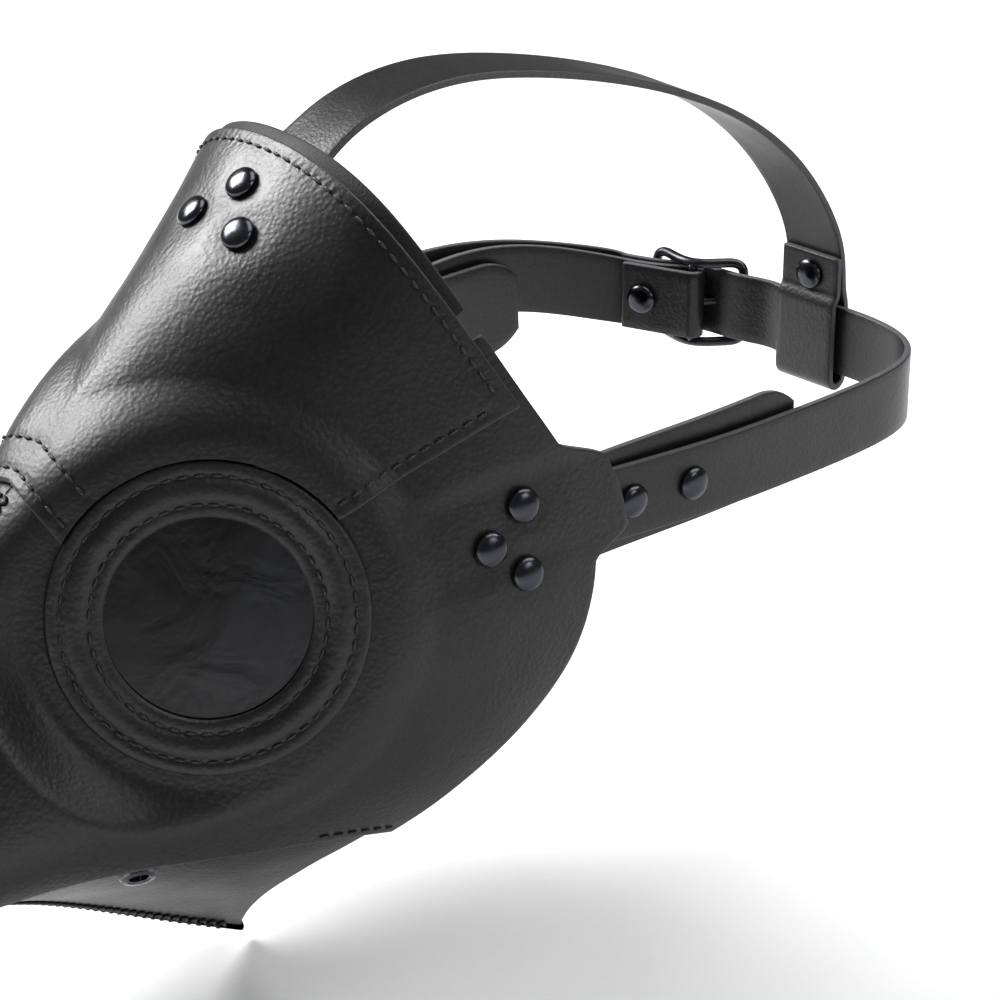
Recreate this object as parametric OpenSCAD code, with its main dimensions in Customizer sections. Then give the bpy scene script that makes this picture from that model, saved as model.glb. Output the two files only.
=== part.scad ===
// Plague doctor mask: sewn sheet leather on the face, a long drooping beak, two
// round eye ports, a crown strap and a buckled back strap.
// Frame: X across the face (+X is the wearer's left), -Y along the beak,
// +Z up. The origin is between the temples, level with the upper temple rivet.

/* [Leather] */
// Thickness of the panel leather
leather_t = 2.0; // [1.6:0.1:2.4]
// Clearance left between two stacked layers
layer_gap = 0.3; // [0.1:0.05:0.4]
// Thickness of the strap leather
strap_t = 2.0; // [1.6:0.1:2.2]
// Width of the crown, back and buckle straps
strap_w = 20; // [18:0.5:21]
// Width of the two riveted temple straps
temple_strap_w = 28; // [24:0.5:30]

/* [Eye ports] */
// Outer diameter of the leather eye ring
ring_d = 78; // [74:0.5:80]
// Diameter of the clear opening
port_d = 50; // [44:0.5:54]
// Diameter of the lens disc
lens_d = 60; // [56:0.5:64]
// Thickness of the lens disc
lens_t = 1.8; // [1.5:0.1:1.8]
// Thickness of the padded eye ring
ring_t = 3.0; // [2:0.1:4]
// Outer diameter of the backing ring inside
backing_d = 74; // [68:0.5:76]

/* [Rivets and vents] */
// Diameter of a rivet cap
cap_d = 8.8; // [8:0.1:9.5]
// Height of the domed rivet cap
cap_h = 2.2; // [1.6:0.1:2.6]
// Diameter of a rivet post
post_d = 3.0; // [2.5:0.1:3.4]
// Bore of a vent eyelet
vent_bore = 5.0; // [4:0.1:6]
// Flange diameter of a vent eyelet
vent_flange = 9.6; // [8.5:0.1:11]

/* [Buckle] */
// Length of the buckle along the strap
buckle_l = 30; // [28:0.5:32]
// Height of the buckle across the strap
buckle_h = 27; // [26:0.5:29]
// Diameter of the end bars
bar_d = 2.8; // [2.4:0.1:2.8]
// Diameter of the centre bar
pivot_d = 2.6; // [2.2:0.1:2.6]
// How far the end bars stand out from the centre bar
bar_rise = 6.1; // [5.8:0.1:6.4]
// Length of the prong from the centre bar
prong_l = 17; // [16:0.5:18]
// Diameter of the prong wire
prong_d = 2.2; // [1.8:0.1:2.2]
// Running clearance between the prong eye and the centre bar
pivot_clearance = 0.05; // [0.03:0.01:0.1]

/* [Hidden] */

// Control net of the left half of the outer skin. Each row is one guide line,
// from the top middle line round the cheek to the bottom middle line. Its
// points run from the rear edge to the tip of the beak.
NET = [
  [[0, -24, 83], [0, -46, 63], [0, -76, 38], [0, -107, 10], [0, -152, -22], [0, -203, -56], [0, -236, -100]],
  [[14, -24, 83], [13, -46, 63], [11, -76, 37], [9, -107, 8], [7, -152, -26], [6, -202, -59], [3, -236, -101]],
  [[43, -25, 79], [37, -41, 54], [26, -72, 27], [16, -104, -3], [14, -148, -35], [12, -198, -66], [3, -235, -103]],
  [[61, 4, 22], [55, -20, 20], [41, -60, 4], [27, -96, -17], [22, -143, -47], [16, -193, -74], [3, -234, -105]],
  [[65, 24, -6], [65, -14, -8], [52, -56, -16], [36, -92, -34], [27, -138, -60], [18, -190, -82], [3, -234, -107]],
  [[66, 18, -52], [69, -12, -44], [60, -55, -46], [43, -91, -56], [30, -137, -72], [18, -189, -90], [3, -234, -109]],
  [[51, -33, -90], [56, -42, -84], [48, -74, -82], [36, -104, -80], [24, -142, -82], [14, -191, -96], [3, -234, -111]],
  [[24, -56, -108], [26, -62, -106], [24, -86, -100], [20, -112, -92], [14, -146, -90], [9, -194, -100], [2.6, -234, -112]],
  [[0, -46, -137], [0, -62, -129], [0, -88, -115], [0, -116, -100], [0, -150, -94], [0, -196, -101], [0, -234, -113]]
];
U_END = len(NET) - 3;
V_END = len(NET[0]) - 3;

// The temple tab: how far it reaches back, and the guide lines it lies between
tab_reach = 10.6;
tab_from = 2.45;
tab_to = 3.2;
tab_soft = 0.2;
tab_fade = 0.9;

// Eye port: centre, and the direction it faces
eye_c = [36.5, -75.5, -17.5];
eye_turn = 58.5;
eye_lift = 11.5;
eye_n = [cos(eye_lift) * sin(eye_turn), -cos(eye_lift) * cos(eye_turn), sin(eye_lift)];
flat_r = 42;
flat_fade_r = 57;
flat_reach = 25;

// Panel edges on the skin, as guide numbers u and stations v
brow_u0 = 2.02;
brow_u1 = 2.45;
brow_v0 = 0.04;
tongue_v = 1.88;
lap_u = 1.65;
lap_v0 = 1.4;
lap_v1 = 1.62;
lining_u = 1.5;
lining_v = 1.15;
jaw_u = 5;
wrap_v0 = 3.3;
wrap_v1 = 3.75;
under_u = 4.65;
under_v = 3.6;
mid_gap = 0.2;

// Rivet and vent places on the skin, as [u, v]
forehead_spots = [[0, 0.2], [0.25, 0.35], [-0.25, 0.35]];
temple_spots = [[2.7, 0.245], [2.95, 0.37], [3.22, 0.245]];
vent_spot = [5.25, 1.6];

// Strap routes: control points of the centre lines
back_near = [[59.8, 20, -9], [60.3, 30, -9], [61.6, 46, -9], [62.4, 66, -9], [61, 92, -9], [59, 118, -9],
             [54, 142, -9], [36, 152, -9], [14, 150, -9], [2, 147, -9]];
buckle_c = [-31, 135.5, -8.5];
buckle_turn = 26;
far_inner = [[-59.8, 20, -9], [-60.3, 30, -8], [-61.6, 46, -4], [-62.4, 66, 1], [-62, 86, 1.5], [-60, 106, -3]];
strap_spots_left = [[60.7, 35, -9], [61.85, 54, -9]];
strap_spots_right = [[-60.7, 35, -6.6], [-61.85, 54, -2.1]];
far_outer_end = [[-63.8, 104, -2], [-66.8, 84, 2], [-67.6, 66, 3], [-67, 48, 2]];

// ---- numbers and curves ------------------------------------------------
function unit(a) = a / norm(a);
function mirrored(p, side) = [side * p[0], p[1], p[2]];
function ramp(t) = t <= 0 ? 0 : t >= 1 ? 1 : t * t * (3 - 2 * t);
function knot(i, n) = i <= 3 ? 0 : i >= n ? n - 3 : i - 3;
// A point at t along the clamped cubic B-spline of the given control points
function mix(a, b, t) = a * (1 - t) + b * t;
function blend_at(t, i, d, n) = (t - knot(i, n)) / (knot(i + d, n) - knot(i, n));
function spline(points, t) = let (n = len(points), c = min(max(t, 0), n - 3 - 0.00001), k = floor(c) + 3,
    d1 = [for (j = [2, 1, 0]) mix(points[k - j - 1], points[k - j], blend_at(c, k - j, 3, n))],
    d2 = [for (j = [1, 0]) mix(d1[1 - j], d1[2 - j], blend_at(c, k - j, 2, n))])
  mix(d2[0], d2[1], blend_at(c, k, 1, n));

// ---- the skin ----------------------------------------------------------
function tab_push(u, v) = tab_reach * ramp((u - tab_from) / tab_soft + 0.5)
  * ramp((tab_to - u) / tab_soft + 0.5) * pow(max(0, 1 - v / tab_fade), 2);
function flattened(p) = let (d = (p - eye_c) * eye_n, r = norm(p - eye_c - d * eye_n),
    w = abs(d) > flat_reach ? 0 : 1 - ramp((r - flat_r) / (flat_fade_r - flat_r)))
  p - eye_n * d * w;
// The guide points at station v, and the skin point at u on them
function guide(v) = [for (row = NET) spline(row, v)];
function on_guide(g, u, v) = mirrored(flattened(spline(g, abs(u)) + [0, tab_push(abs(u), v), 0]), u < 0 ? -1 : 1);
step_uv = 0.02;
// [point, outward normal] on the skin for each u in us, at station v
function skin_row(us, v) = let (v0 = max(0, v - step_uv), v1 = min(V_END, v + step_uv),
    g = guide(v), g0 = guide(v0), g1 = guide(v1))
  [for (u = us) let (u1 = min(U_END, u + step_uv))
    [on_guide(g, u, v), unit(cross(on_guide(g1, u, v1) - on_guide(g0, u, v0),
                                   on_guide(g, u1, v) - on_guide(g, u - step_uv, v)))]];
function skin(u, v) = skin_row([u], v)[0][0];
function skin_n(u, v) = skin_row([u], v)[0][1];
function off_mid(p, keep) = [keep ? max(p[0], mid_gap) : p[0], p[1], p[2]];
function lifted(rows, out, keep) = [for (row = rows) [for (q = row) off_mid(q[0] + q[1] * out, keep)]];
function skin_at(u, v, out, keep = false) = lifted([skin_row([u], v)], out, keep)[0][0];

// ---- closed sheets -----------------------------------------------------
// Two grids of points, outer and inner, become one closed sheet.
module sheet(outer, inner) {
  m = len(outer);
  n = len(outer[0]);
  points = [for (g = [outer, inner]) for (row = g) each row];
  at = function (k, i, j) k * m * n + i * n + j;
  quads = [
    for (i = [0:m - 2]) for (j = [0:n - 2])
      each [[at(0, i, j), at(0, i, j + 1), at(0, i + 1, j + 1), at(0, i + 1, j)],
            [at(1, i, j), at(1, i + 1, j), at(1, i + 1, j + 1), at(1, i, j + 1)]],
    for (i = [0:m - 2])
      each [[at(0, i, 0), at(0, i + 1, 0), at(1, i + 1, 0), at(1, i, 0)],
            [at(0, i + 1, n - 1), at(0, i, n - 1), at(1, i, n - 1), at(1, i + 1, n - 1)]],
    for (j = [0:n - 2])
      each [[at(0, 0, j + 1), at(0, 0, j), at(1, 0, j), at(1, 0, j + 1)],
            [at(0, m - 1, j), at(0, m - 1, j + 1), at(1, m - 1, j + 1), at(1, m - 1, j)]]
  ];
  polyhedron(points, [for (q = quads) each [[q[0], q[1], q[2]], [q[0], q[2], q[3]]]]);
}
function steps(a, b, n) = [for (i = [0:n]) a + (b - a) * i / n];

// A strap on a centre line: its width runs along the across directions, and its
// two edges bow off the flat by the given amounts.
module band(line, across, widths, bows, t) {
  last = len(line) - 1;
  normals = [for (i = [0:last])
    unit(cross(line[min(i + 1, last)] - line[max(i - 1, 0)], across[i]))];
  side = function (s) [for (i = [0:last])
    [for (e = bows[0] == 0 ? [-1, 1] : [-1, -0.5, 0, 0.5, 1])
      line[i] + across[i] * widths[i] * e / 2 + normals[i] * (s * t / 2 - bows[i] * e * e)]];
  sheet(side(1), side(-1));
}
function same(a, n) = [for (i = [1:n]) a];

// Puts children at p with their Z axis along n
module facing(p, n) {
  translate(p)
    rotate([0, acos(n[2]), atan2(n[1], n[0])])
      children();
}
module on_side(side) {
  if (side > 0)
    children();
  else
    mirror([1, 0, 0]) children();
}

// ---- leather panels ----------------------------------------------------
module eye_axis() {
  facing(eye_c, eye_n) children();
}
module post_hole(p, n) {
  facing(p, n)
    cylinder(d = post_d + 0.2, h = 24, center = true, $fn = 24);
}
function lap_top(v) = lap_u * (1 - ramp((v - lap_v0) / (lap_v1 - lap_v0)));
function jaw_end(v) = jaw_u + ramp((v - wrap_v0) / (wrap_v1 - wrap_v0));
module side_panel() {
  rows = [for (v = steps(0, V_END, 34))
    skin_row([for (b = steps(0, 1, 24)) mix(lap_top(v), jaw_end(v), b)], v)];
  difference() {
    sheet(lifted(rows, 0, true), lifted(rows, -leather_t, true));
    eye_axis() cylinder(d = lens_d + 0.6, h = 20, center = true);
    for (s = temple_spots)
      post_hole(skin(s[0], s[1]), skin_n(s[0], s[1]));
  }
}
module under_panel() {
  rows = [for (v = steps(0.03, under_v, 30)) skin_row(steps(under_u, U_END, 8), v)];
  lift = -leather_t - layer_gap - 0.15;
  difference() {
    sheet(lifted(rows, lift, true), lifted(rows, lift - leather_t, true));
    facing(skin(vent_spot[0], vent_spot[1]), skin_n(vent_spot[0], vent_spot[1]))
      cylinder(d = vent_bore + 2.3, h = 20, center = true);
  }
}
module brow_sheet(u_ends, v0, v1, out, rows, cols) {
  grid = [for (t = steps(0, 1, rows)) skin_row(mix(u_ends[0], u_ends[1], t) * steps(-1, 1, cols), mix(v0, v1, t))];
  sheet(lifted(grid, out + leather_t, false), lifted(grid, out, false));
}
module forehead_holes() {
  for (s = forehead_spots)
    post_hole(skin(s[0], s[1]), skin_n(s[0], s[1]));
}
module forehead_leather() {
  difference() {
    brow_sheet([brow_u0, brow_u1], brow_v0, tongue_v, layer_gap, 22, 40);
    for (side = [1, -1])
      on_side(side) eye_axis() cylinder(d = ring_d + 0.6, h = 40, center = true);
    forehead_holes();
  }
}
module lining_leather() {
  difference() {
    brow_sheet([lining_u, lining_u], 0, lining_v, -leather_t, 14, 30);
    forehead_holes();
  }
}

// ---- lacing ------------------------------------------------------------
// A zigzag of waxed thread over a seam on the middle line
module lacing(u_edge, v0, v1, turns, reach, out) {
  foot = function (i, side) let (v = v0 + (v1 - v0) * i / turns, p = skin_at(u_edge, v, out, true))
    [side * (p[0] + reach), p[1], p[2]];
  for (i = [0:turns - 1])
    stitch(foot(i, -1), foot(i + 0.5, 1));
}
module stitch(a, b) {
  facing(a, unit(b - a))
    cylinder(d = 1.2, h = norm(b - a), $fn = 24);
}

// ---- eye ports ---------------------------------------------------------
module ring_leather() {
  eye_axis()
    rotate_extrude()
      polygon([[port_d / 2, 0.05], [ring_d / 2, 0.05], [ring_d / 2, 1.4], [ring_d / 2 - 2.5, 2.0],
               [ring_d / 2 - 5, ring_t], [port_d / 2 + 5, ring_t], [port_d / 2 + 2.5, 2.0], [port_d / 2, 1.4]]);
}
module lens_disc() {
  eye_axis()
    translate([0, 0, -leather_t / 2 - lens_t / 2])
      cylinder(d = lens_d, h = lens_t);
}
module backing_leather() {
  eye_axis()
    translate([0, 0, -2 * leather_t - 0.05])
      difference() {
        cylinder(d = backing_d, h = leather_t);
        translate([0, 0, -1]) cylinder(d = port_d, h = leather_t + 2);
      }
}

// ---- vents and rivets --------------------------------------------------
module vent_front() {
  p = skin(vent_spot[0], vent_spot[1]);
  n = skin_n(vent_spot[0], vent_spot[1]);
  face = -leather_t - layer_gap + 0.15;
  facing(p + n * face, n)
    rotate_extrude()
      polygon([[vent_bore / 2, -leather_t - 1.6], [vent_bore / 2 + 1, -leather_t - 1.6], [vent_bore / 2 + 1, 0],
               [vent_flange / 2, 0], [vent_flange / 2 - 0.4, 0.7], [vent_bore / 2 + 0.6, 1], [vent_bore / 2, 0.5]]);
}
module vent_back() {
  p = skin(vent_spot[0], vent_spot[1]);
  n = skin_n(vent_spot[0], vent_spot[1]);
  facing(p - n * (2 * leather_t + layer_gap + 1.25), n)
    difference() {
      cylinder(d = vent_flange, h = 0.7);
      translate([0, 0, -1]) cylinder(d = vent_bore + 2.1, h = 3);
    }
}
// A double-cap rivet at p: the cap with its post, and the cap on the far side.
// deep is the thickness of leather that the post passes through.
module rivet_cap(p, n, deep) {
  r = cap_d / 2;
  facing(p, n)
    rotate_extrude()
      polygon([[0, -deep], [post_d / 2, -deep], [post_d / 2, 0.05], [r, 0.05], [r, 0.5],
               [r * 0.9, cap_h * 0.55], [r * 0.7, cap_h * 0.8], [r * 0.4, cap_h * 0.96], [0, cap_h]]);
}
module rivet_back(p, n, deep) {
  facing(p - n * (deep + 1.1), n)
    difference() {
      cylinder(d = cap_d - 0.8, h = 1.05);
      translate([0, 0, 0.7]) cylinder(d = post_d + 0.04, h = 1);
    }
}
function spot_p(s, out) = skin(s[0], s[1]) + skin_n(s[0], s[1]) * out;
// Leather between the two caps of a rivet, and how far its post goes past it
forehead_deep = 2 * leather_t + strap_t + 1.6;
temple_deep = leather_t + strap_t + 2;
strap_deep = 2 * strap_t + 1.6;
post_past = 0.3;
module forehead_fronts() {
  for (s = forehead_spots)
    rivet_cap(spot_p(s, leather_t + layer_gap), skin_n(s[0], s[1]), forehead_deep + post_past);
}
module forehead_backs() {
  for (s = forehead_spots)
    rivet_back(spot_p(s, leather_t + layer_gap), skin_n(s[0], s[1]), forehead_deep);
}
module temple_fronts() {
  for (s = temple_spots)
    rivet_cap(spot_p(s, 0), skin_n(s[0], s[1]), temple_deep + post_past);
}
module temple_backs() {
  for (s = temple_spots)
    rivet_back(spot_p(s, 0), skin_n(s[0], s[1]), temple_deep);
}

// ---- straps ------------------------------------------------------------
up = [0, 0, 1];
function line_of(points, n) = [for (t = steps(0, len(points) - 3, n)) spline(points, t)];
// Places around the buckle, as [along the strap, outwards, up] from its centre bar
buckle_s = [cos(buckle_turn), sin(buckle_turn), 0];
buckle_o = [-sin(buckle_turn), cos(buckle_turn), 0];
function at_buckle(s, o, z = 0) = buckle_c + buckle_s * s + buckle_o * o + up * z;
module buckle_place() {
  translate(buckle_c) rotate([0, 0, buckle_turn]) children();
}
fold_r = pivot_d / 2 + 0.3 + strap_t / 2;
slot_l = 11;
slot_w = 4;
slot_pitch = 18;
back_route = concat(back_near, [at_buckle(26, 1.2), at_buckle(20, 2), at_buckle(13, 2.3), at_buckle(6, 4.4),
  at_buckle(0, 5.7), at_buckle(-6, 4.6), at_buckle(-12, 3.2), at_buckle(-18, 3.3),
  at_buckle(-23, 3), at_buckle(-28, 2.6, 1)], far_outer_end);
module back_leather() {
  line = line_of(back_route, 110);
  difference() {
    band(line, same(up, len(line)), same(strap_w, len(line)), same(0, len(line)), strap_t);
    buckle_place()
      for (k = [0, 1])
        translate([3.5 - slot_pitch * k, 4, 0])
          cube([slot_l, 8, slot_w], center = true);
    for (p = strap_spots_left)
      post_hole(p, [1, 0, 0]);
  }
}
function fold_point(a) = at_buckle(fold_r * cos(a), fold_r * sin(a));
anchor_route = concat([for (p = far_inner) p], [at_buckle(-24, -0.6), at_buckle(-16, -0.3), at_buckle(-11, -0.3),
  at_buckle(-6, 1.2)]);
flap_route = [at_buckle(-6, -2.7), at_buckle(-11, -2.7), at_buckle(-16, -2.7), at_buckle(-20, -2.8)];
rivet_s = -14;
flap_deep = 5.2;
module buckle_leather() {
  line = concat(line_of(anchor_route, 60), [for (a = steps(105, -100, 18)) fold_point(a)], line_of(flap_route, 6));
  difference() {
    band(line, same(up, len(line)), same(strap_w, len(line)), same(0, len(line)), strap_t);
    buckle_place()
      translate([1, 0, 0]) cube([12, 9, slot_w], center = true);
    buckle_place()
      translate([rivet_s, 0, 0]) rotate([90, 0, 0]) cylinder(d = post_d + 0.2, h = 20, center = true, $fn = 24);
    for (p = strap_spots_right)
      post_hole(p, [1, 0, 0]);
  }
}

// A temple strap lies inside the cheek, tilted to follow it, then straightens
// under the end of the back strap. It is drawn on the left side.
temple_route = [[57, -14, -9.5], [58, -7, -9.5], [58.8, 2, -9.5], [58.2, 12, -9.5], [57.3, 22, -9.5],
                [58, 40, -8.5], [59.2, 62, -7.4], [59, 78, -6.6], [58, 92, -6]];
temple_tilt = 10;
temple_bow = 0.5;
module temple_leather(spots) {
  line = line_of(temple_route, 30);
  round_end = function (i) min(1, 0.72 + 0.1 * min(i, len(line) - 1 - i));
  lean = [for (p = line) 1.001 - ramp(p[1] / 18)];
  difference() {
    band(line, [for (k = lean) [-sin(temple_tilt * k), 0, cos(temple_tilt * k)]],
         [for (i = [0:len(line) - 1]) temple_strap_w * round_end(i)], [for (k = lean) temple_bow * k], strap_t);
    for (s = temple_spots)
      post_hole(skin(s[0], s[1]), skin_n(s[0], s[1]));
    for (p = spots)
      post_hole([abs(p[0]), p[1], p[2]], [1, 0, 0]);
  }
}

// The crown strap is riveted inside the forehead, arches over the head and
// folds round the back strap
crown_root_w = 28;
root_bow = 3;
loop_c = [6, 148.45, -9];
loop_turn = 6.7;
loop_o = strap_t / 2 + 0.8 + strap_t / 2;
loop_back = [-sin(loop_turn), cos(loop_turn), 0];
function at_loop(o, z) = loop_c + loop_back * o + up * z;
crown_root = [for (v = [0.52, 0.42, 0.32, 0.22, 0.14]) skin_at(0, v, -leather_t - layer_gap - strap_t / 2)];
crown_route = concat(crown_root, [[0, -17, 81], [0, -2, 88.4], [0, 20, 91.5], [0, 46, 87.6], [1, 76, 80],
  [2, 108, 67.5], [3, 134, 47.5], [5, 148, 24]],
  [at_loop(1, 21), at_loop(1.1, 14), at_loop(loop_o + 0.3, 10), at_loop(loop_o, 0), at_loop(loop_o, -7)]);
function loop_bend(a) = at_loop(loop_o * cos(a), -8.5 + loop_o * 1.15 * sin(a) - 2.5);
crown_flap = [for (z = [-8, -2, 4, 10, 12, 14, 19, 24]) at_loop(-loop_o + ramp((z - 10) / 4) * (loop_o - 1.15), z)];
module crown_leather() {
  line = concat(line_of(crown_route, 90), [for (a = steps(0, -180, 12)) loop_bend(a)], crown_flap);
  turn = function (p) ramp((p[1] - 90) / 50) * loop_turn;
  across = [for (p = line) [cos(turn(p)), sin(turn(p)), 0]];
  widths = [for (i = [0:len(line) - 1]) strap_w + (crown_root_w - strap_w) * ramp((26 - i) / 14)];
  difference() {
    bows = [for (i = [0:len(line) - 1]) -root_bow * (1.001 - ramp((i - 12) / 16))];
    band(line, across, widths, bows, strap_t);
    for (s = forehead_spots)
      post_hole(skin(s[0], s[1]), skin_n(s[0], s[1]));
    post_hole(loop_rivet_p, loop_back);
  }
}
loop_rivet_p = at_loop(-2.2, 18);
loop_deep = 4.7;

// ---- strap rivets ------------------------------------------------------
module strap_fronts(spots) {
  for (p = spots)
    rivet_cap(p + [sign(p[0]) * 1.3, 0, 0], [sign(p[0]), 0, 0], strap_deep + post_past);
}
module strap_backs(spots) {
  for (p = spots)
    rivet_back(p + [sign(p[0]) * 1.3, 0, 0], [sign(p[0]), 0, 0], strap_deep);
}

// ---- buckle ------------------------------------------------------------
half_l = buckle_l / 2 - bar_d / 2;
half_h = buckle_h / 2 - bar_d / 2;
module bar(a, b, d) {
  facing(a, unit(b - a)) cylinder(d = d, h = norm(b - a), $fn = 32);
}
module elbow(p, d) {
  translate(p) sphere(d = d, $fn = 32);
}
// Two bowed side rails, two raised end bars and the straight centre bar
module frame_metal() {
  ball_d = bar_d + 0.3;
  buckle_place() {
    for (z = [-1, 1]) {
      rail = [[-half_l, bar_rise, z * (half_h - 2.5)], [-half_l + 3, bar_rise - 0.8, z * half_h],
              [0, 0, z * half_h], [half_l - 3, bar_rise - 0.8, z * half_h],
              [half_l, bar_rise, z * (half_h - 2.5)]];
      for (i = [0:3])
        bar(rail[i], rail[i + 1], bar_d);
      for (p = rail)
        elbow(p, ball_d);
    }
    for (s = [-1, 1])
      bar([s * half_l, bar_rise, -half_h + 2.5], [s * half_l, bar_rise, half_h - 2.5], bar_d);
    cylinder(d = pivot_d, h = 2 * half_h, center = true);
  }
}
prong_rest = 34.4;
module prong_metal() {
  eye_w = 3.2;
  buckle_place()
    difference() {
      union() {
        cylinder(d = pivot_d + 2.4, h = eye_w, center = true);
        rotate([0, 0, prong_rest]) {
          rotate([0, 90, 0]) cylinder(d = prong_d, h = prong_l);
          translate([prong_l, 0, 0]) sphere(d = prong_d, $fn = 32);
        }
      }
      cylinder(d = pivot_d + 2 * pivot_clearance, h = 20, center = true);
    }
}
// A flat rivet, so that the strap's tail lies over it
module buckle_rivet_front() {
  facing(at_buckle(rivet_s, 1.2), buckle_o) {
    cylinder(d = 6, h = 0.7);
    translate([0, 0, -flap_deep - post_past]) cylinder(d = post_d, h = flap_deep + post_past + 0.3);
  }
}

// ---- one module per piece ----------------------------------------------
leather = "#1b1b1d";
thread = "#0e0e10";
smoke = "#2b2c30";
gunmetal = "#3c3d42";
black_metal = "#232327";
module side_panel_left() {
  color(leather) side_panel();
}
module side_panel_right() {
  color(leather) on_side(-1) side_panel();
}
module forehead_panel() {
  color(leather) forehead_leather();
}
module forehead_lining() {
  color(leather) lining_leather();
}
module under_panel_left() {
  color(leather) under_panel();
}
module under_panel_right() {
  color(leather) on_side(-1) under_panel();
}
module ridge_lacing() {
  color(thread) lacing(0, 2.0, 3.85, 34, 1.6, 0.7);
}
module chin_lacing() {
  color(thread) lacing(U_END, 0.12, 2.9, 40, 2.4, -leather_t - layer_gap + 0.7);
}
module eye_ring_left() {
  color(leather) ring_leather();
}
module eye_ring_right() {
  color(leather) on_side(-1) ring_leather();
}
module lens_left() {
  color(smoke) lens_disc();
}
module lens_right() {
  color(smoke) on_side(-1) lens_disc();
}
module lens_backing_left() {
  color(leather) backing_leather();
}
module lens_backing_right() {
  color(leather) on_side(-1) backing_leather();
}
module vent_eyelet_left() {
  color(gunmetal) vent_front();
}
module vent_eyelet_right() {
  color(gunmetal) on_side(-1) vent_front();
}
module vent_washer_left() {
  color(gunmetal) vent_back();
}
module vent_washer_right() {
  color(gunmetal) on_side(-1) vent_back();
}
module crown_strap() {
  color(leather) crown_leather();
}
module back_strap() {
  color(leather) back_leather();
}
module buckle_strap() {
  color(leather) buckle_leather();
}
module temple_strap_left() {
  color(leather) temple_leather(strap_spots_left);
}
module temple_strap_right() {
  color(leather) on_side(-1) temple_leather(strap_spots_right);
}
module forehead_rivets() {
  color(gunmetal) forehead_fronts();
}
module forehead_rivet_backs() {
  color(gunmetal) forehead_backs();
}
module temple_rivets_left() {
  color(gunmetal) temple_fronts();
}
module temple_rivets_right() {
  color(gunmetal) on_side(-1) temple_fronts();
}
module temple_rivet_backs_left() {
  color(gunmetal) temple_backs();
}
module temple_rivet_backs_right() {
  color(gunmetal) on_side(-1) temple_backs();
}
module strap_rivets_left() {
  color(gunmetal) strap_fronts(strap_spots_left);
}
module strap_rivets_right() {
  color(gunmetal) strap_fronts(strap_spots_right);
}
module strap_rivet_backs_left() {
  color(gunmetal) strap_backs(strap_spots_left);
}
module strap_rivet_backs_right() {
  color(gunmetal) strap_backs(strap_spots_right);
}
module crown_loop_rivet() {
  color(gunmetal) rivet_cap(loop_rivet_p, -loop_back, loop_deep + post_past);
}
module crown_loop_rivet_back() {
  color(gunmetal) rivet_back(loop_rivet_p, -loop_back, loop_deep);
}
module buckle_rivet() {
  color(gunmetal) buckle_rivet_front();
}
module buckle_rivet_back() {
  color(gunmetal) rivet_back(at_buckle(rivet_s, 1.2), buckle_o, flap_deep);
}
module buckle_frame() {
  color(black_metal) frame_metal();
}
module buckle_prong() {
  color(black_metal) prong_metal();
}

side_panel_left();
side_panel_right();
forehead_panel();
forehead_lining();
under_panel_left();
under_panel_right();
ridge_lacing();
chin_lacing();
eye_ring_left();
eye_ring_right();
lens_left();
lens_right();
lens_backing_left();
lens_backing_right();
vent_eyelet_left();
vent_eyelet_right();
vent_washer_left();
vent_washer_right();
crown_strap();
back_strap();
buckle_strap();
temple_strap_left();
temple_strap_right();
forehead_rivets();
forehead_rivet_backs();
temple_rivets_left();
temple_rivets_right();
temple_rivet_backs_left();
temple_rivet_backs_right();
strap_rivets_left();
strap_rivets_right();
strap_rivet_backs_left();
strap_rivet_backs_right();
crown_loop_rivet();
crown_loop_rivet_back();
buckle_rivet();
buckle_rivet_back();
buckle_frame();
buckle_prong();
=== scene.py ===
import math

import bmesh
import bpy
import numpy as np
from bpy.props import FloatProperty, FloatVectorProperty, IntProperty, PointerProperty
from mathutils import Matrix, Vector, noise


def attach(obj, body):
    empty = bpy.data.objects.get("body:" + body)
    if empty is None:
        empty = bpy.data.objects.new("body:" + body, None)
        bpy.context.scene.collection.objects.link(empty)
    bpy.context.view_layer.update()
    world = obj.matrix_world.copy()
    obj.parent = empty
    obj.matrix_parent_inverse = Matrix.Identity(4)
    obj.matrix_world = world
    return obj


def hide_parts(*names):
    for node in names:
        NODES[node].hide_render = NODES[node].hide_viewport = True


bl_info = {
    "name": "Plague doctor mask",
    "version": (1, 0, 0),
    "blender": (4, 5, 0),
    "location": "3D View > Sidebar > Mask",
    "description": "Builds the leather, thread and metal of a plague doctor mask",
    "category": "Add Mesh",
}

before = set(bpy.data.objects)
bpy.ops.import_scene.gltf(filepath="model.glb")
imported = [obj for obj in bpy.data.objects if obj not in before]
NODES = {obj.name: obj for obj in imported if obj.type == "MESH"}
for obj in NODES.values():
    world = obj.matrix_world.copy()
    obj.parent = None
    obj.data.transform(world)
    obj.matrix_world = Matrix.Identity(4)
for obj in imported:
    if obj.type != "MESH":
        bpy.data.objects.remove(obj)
MM = 0.001

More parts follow.
